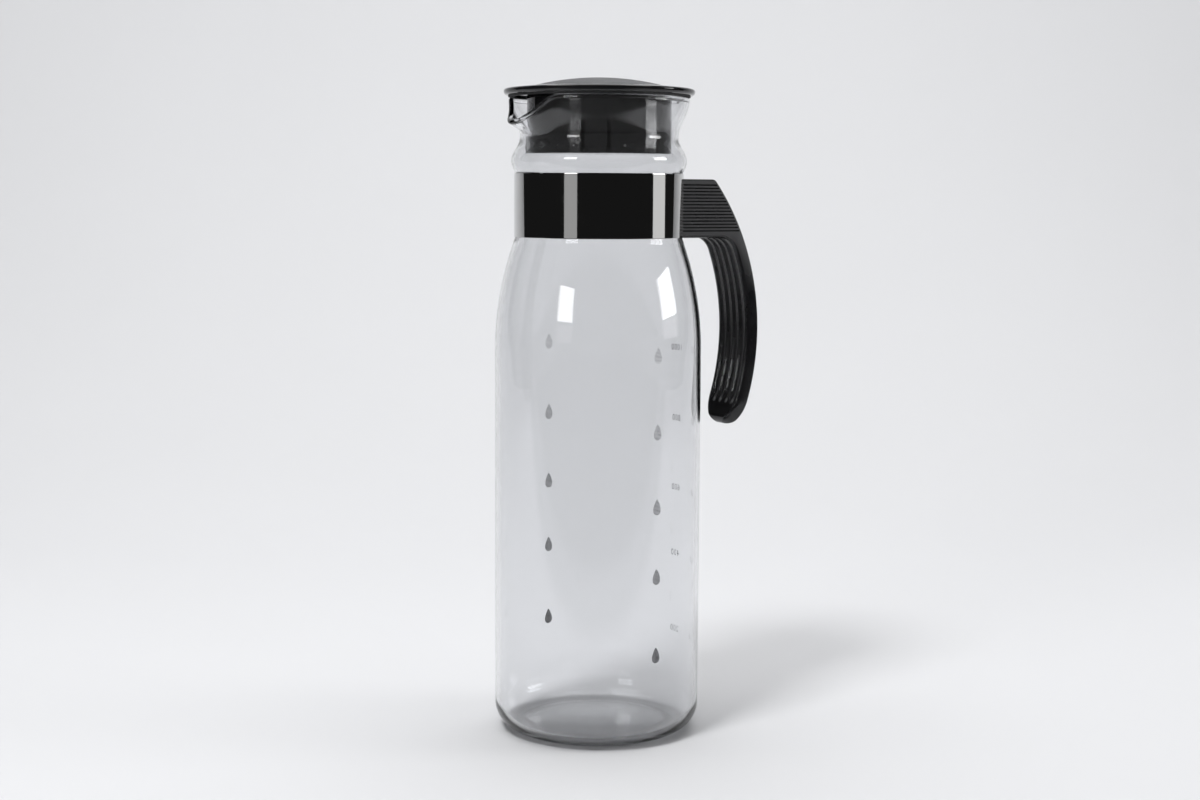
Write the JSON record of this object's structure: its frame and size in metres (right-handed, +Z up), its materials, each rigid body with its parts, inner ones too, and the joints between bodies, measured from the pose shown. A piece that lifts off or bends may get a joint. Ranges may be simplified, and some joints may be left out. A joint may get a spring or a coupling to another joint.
{
  "type": "fridge pitcher",
  "caption": "Tall slim glass fridge pitcher with pulled pouring lip, steel neck band, open curved handle and a lift-out round lid whose plug has sprung fingers and strainer slits.",
  "frame": {"origin": "on the jug's axis, in the plane of its foot", "axes": "X from the pouring lip to the handle, Z up along the jug's axis, Y across the handle"},
  "size_m": [0.125, 0.092, 0.2914],
  "materials": {
    "clear_glass": "clear and polished",
    "mirror_steel": "mirror-polished stainless steel",
    "plain_steel": "plain steel",
    "gloss_black": "glossy black",
    "satin_charcoal": "satin charcoal with a fine grain",
    "soft_liner": "pale translucent",
    "soft_black": "matt black"
  },
  "bodies": {
    "jug": {"glass_jug": "clear_glass", "neck_band": "mirror_steel", "band_liner": "soft_liner", "handle": "gloss_black", "band_anchor": "plain_steel", "clamp_screw": "plain_steel", "lock_washer": "plain_steel"},
    "seal": {"rim_seal": "soft_black"},
    "lid": {"lid_cap": "gloss_black", "lid_crown": "satin_charcoal", "lid_plug": "gloss_black"}
  },
  "joints": [
    {"name": "lid_lift", "type": "slide", "parent": "jug", "child": "seal", "axis": [0, 0, 1], "range_m": [0, 0.06]},
    {"name": "lid_turn", "type": "hinge", "parent": "seal", "child": "lid", "pos_m": [0, 0, 0.28], "axis": [0, 0, 1], "continuous": true}
  ]
}
